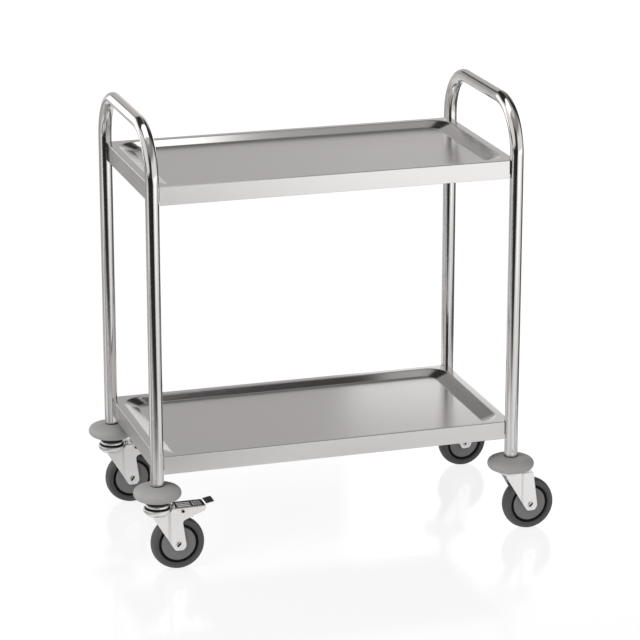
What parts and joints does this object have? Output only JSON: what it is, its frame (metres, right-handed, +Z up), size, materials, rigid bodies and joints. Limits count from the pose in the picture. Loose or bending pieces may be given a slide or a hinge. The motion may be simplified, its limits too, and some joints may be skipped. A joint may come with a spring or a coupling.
{
  "type": "serving trolley",
  "caption": "Stainless serving trolley: bent tube end frames with push handles carry pressed trays and stand on swivel casters with bumpers and foot brakes.",
  "frame": {"origin": "on the floor under the middle of the four legs", "axes": "+X along the trays, +Y across them to the rear, +Z up"},
  "size_m": [0.8149, 0.448, 0.832],
  "materials": {
    "polished_tube": "polished stainless steel tube",
    "satin_sheet": "satin stainless steel sheet",
    "bracket_steel": "plain stainless plate",
    "fastener_steel": "bright steel",
    "zinc_steel": "bright zinc plated pressed steel",
    "bumper_rubber": "soft grey moulded rubber",
    "plug_flange": "turned end plug",
    "core_plastic": "moulded mid grey plastic",
    "tyre_rubber": "dark grey non-marking rubber",
    "bush_plastic": "plain bearing plastic",
    "shoe_rubber": "black brake block",
    "spacer_plastic": "black moulded neck under the bumper"
  },
  "bodies": {
    "frame": {"left_frame_tube": "polished_tube", "right_frame_tube": "polished_tube", "upper_tray": "satin_sheet", "lower_tray": "satin_sheet", "corner_brackets": "bracket_steel", "bracket_screws": "fastener_steel", "threaded_inserts": "fastener_steel", "stem_bolts": "fastener_steel", "lock_screws": "fastener_steel", "front_left_bumper": "bumper_rubber", "front_left_tube_plug": "plug_flange", "front_left_head_cap": "zinc_steel", "front_left_spacer": "spacer_plastic", "front_right_bumper": "bumper_rubber", "front_right_tube_plug": "plug_flange", "front_right_head_cap": "zinc_steel", "rear_left_bumper": "bumper_rubber", "rear_left_tube_plug": "plug_flange", "rear_left_head_cap": "zinc_steel", "rear_left_spacer": "spacer_plastic", "rear_right_bumper": "bumper_rubber", "rear_right_tube_plug": "plug_flange", "rear_right_head_cap": "zinc_steel"},
    "front_left_swivel": {"front_left_fork": "zinc_steel", "front_left_swivel_balls": "fastener_steel", "front_left_axle_bolt": "fastener_steel", "front_left_axle_sleeve": "fastener_steel", "front_left_pivot_pin": "fastener_steel"},
    "front_left_wheel": {"front_left_tyre": "tyre_rubber", "front_left_wheel_core": "core_plastic", "front_left_wheel_bush": "bush_plastic"},
    "front_left_pedal": {"front_left_brake_pedal": "zinc_steel", "front_left_brake_shoe": "shoe_rubber"},
    "front_right_swivel": {"front_right_fork": "zinc_steel", "front_right_swivel_balls": "fastener_steel", "front_right_axle_bolt": "fastener_steel", "front_right_axle_sleeve": "fastener_steel"},
    "front_right_wheel": {"front_right_tyre": "tyre_rubber", "front_right_wheel_core": "core_plastic", "front_right_wheel_bush": "bush_plastic"},
    "rear_left_swivel": {"rear_left_fork": "zinc_steel", "rear_left_swivel_balls": "fastener_steel", "rear_left_axle_bolt": "fastener_steel", "rear_left_axle_sleeve": "fastener_steel", "rear_left_pivot_pin": "fastener_steel"},
    "rear_left_wheel": {"rear_left_tyre": "tyre_rubber", "rear_left_wheel_core": "core_plastic", "rear_left_wheel_bush": "bush_plastic"},
    "rear_left_pedal": {"rear_left_brake_pedal": "zinc_steel", "rear_left_brake_shoe": "shoe_rubber"},
    "rear_right_swivel": {"rear_right_fork": "zinc_steel", "rear_right_swivel_balls": "fastener_steel", "rear_right_axle_bolt": "fastener_steel", "rear_right_axle_sleeve": "fastener_steel"},
    "rear_right_wheel": {"rear_right_tyre": "tyre_rubber", "rear_right_wheel_core": "core_plastic", "rear_right_wheel_bush": "bush_plastic"}
  },
  "joints": [
    {"name": "front_left_swivel_turn", "type": "hinge", "parent": "frame", "child": "front_left_swivel", "pos_m": [-0.3425, -0.18, 0.12], "axis": [0, 0, 1], "continuous": true},
    {"name": "front_left_wheel_roll", "type": "hinge", "parent": "front_left_swivel", "child": "front_left_wheel", "pos_m": [-0.3065, -0.18, 0.05], "axis": [0, 1, 0], "continuous": true},
    {"name": "front_left_pedal_press", "type": "hinge", "parent": "front_left_swivel", "child": "front_left_pedal", "pos_m": [-0.2995, -0.18, 0.115], "axis": [0, 1, 0], "range_deg": [0, 10]},
    {"name": "front_right_swivel_turn", "type": "hinge", "parent": "frame", "child": "front_right_swivel", "pos_m": [0.3425, -0.18, 0.12], "axis": [0, 0, 1], "continuous": true},
    {"name": "front_right_wheel_roll", "type": "hinge", "parent": "front_right_swivel", "child": "front_right_wheel", "pos_m": [0.37845, -0.17812, 0.05], "axis": [-0.0523, 0.9986, 0], "continuous": true},
    {"name": "rear_left_swivel_turn", "type": "hinge", "parent": "frame", "child": "rear_left_swivel", "pos_m": [-0.3425, 0.18, 0.12], "axis": [0, 0, 1], "continuous": true},
    {"name": "rear_left_wheel_roll", "type": "hinge", "parent": "rear_left_swivel", "child": "rear_left_wheel", "pos_m": [-0.30651, 0.18063, 0.05], "axis": [-0.0175, 0.9998, 0], "continuous": true},
    {"name": "rear_left_pedal_press", "type": "hinge", "parent": "rear_left_swivel", "child": "rear_left_pedal", "pos_m": [-0.29951, 0.18075, 0.115], "axis": [-0.0175, 0.9998, 0], "range_deg": [0, 10]},
    {"name": "rear_right_swivel_turn", "type": "hinge", "parent": "frame", "child": "rear_right_swivel", "pos_m": [0.3425, 0.18, 0.12], "axis": [0, 0, 1], "continuous": true},
    {"name": "rear_right_wheel_roll", "type": "hinge", "parent": "rear_right_swivel", "child": "rear_right_wheel", "pos_m": [0.37806, 0.18563, 0.05], "axis": [-0.1564, 0.9877, 0], "continuous": true}
  ]
}
